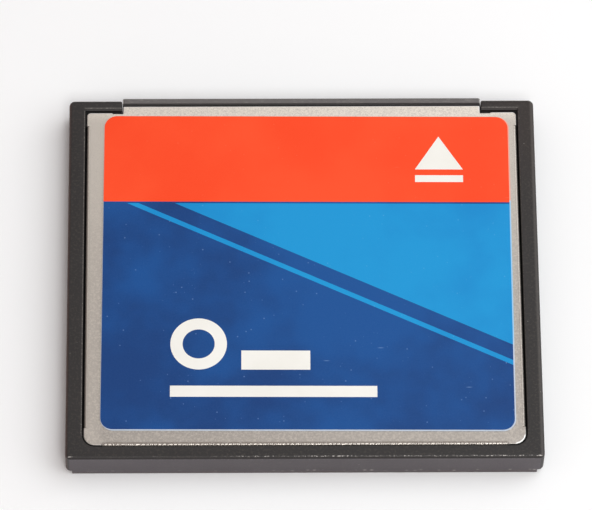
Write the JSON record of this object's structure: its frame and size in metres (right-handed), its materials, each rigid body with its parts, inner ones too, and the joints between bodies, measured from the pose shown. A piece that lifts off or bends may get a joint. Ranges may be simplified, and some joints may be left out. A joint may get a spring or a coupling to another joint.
{
  "type": "50-pin flash memory card",
  "caption": "Removable memory card: a black moulded frame with side guide grooves, pressed steel covers, a two-row socket connector along one edge and a plain coloured label.",
  "frame": {"origin": "middle of the card's underside, in the plane of the frame's lower rim", "axes": "+X across the card to the right of the label, +Y towards the socket edge, +Z towards the labelled side"},
  "size_m": [0.0428, 0.0364, 0.0033],
  "materials": {
    "frame_plastic": "matte",
    "cover_steel": "satin",
    "housing_plastic": "matte",
    "label_white": "satin",
    "red_ink": "satin",
    "light_blue_ink": "satin",
    "dark_blue_ink": "satin",
    "pale_ink": "satin",
    "contact_gold": "polished",
    "board_green": "satin",
    "chip_black": "matte",
    "can_metal": "satin",
    "tantalum_case": "matte",
    "capacitor_ceramic": "matte",
    "resistor_black": "matte",
    "film_amber": "satin"
  },
  "bodies": {
    "root": {"frame": "frame_plastic", "top_cover": "cover_steel", "bottom_cover": "cover_steel", "connector_housing": "housing_plastic", "upper_contacts": "contact_gold", "lower_contacts": "contact_gold", "circuit_board": "board_green", "left_memory_chip": "chip_black", "right_memory_chip": "chip_black", "controller_chip": "chip_black", "oscillator": "can_metal", "voltage_regulator": "chip_black", "tantalum_capacitor": "tantalum_case", "ceramic_capacitors": "capacitor_ceramic", "resistors": "resistor_black", "resistor_networks": "resistor_black", "top_insulation_film": "film_amber", "bottom_insulation_film": "film_amber", "label_film": "label_white", "red_print": "red_ink", "light_blue_print": "light_blue_ink", "dark_blue_print": "dark_blue_ink", "pale_print": "pale_ink"}
  },
  "joints": []
}
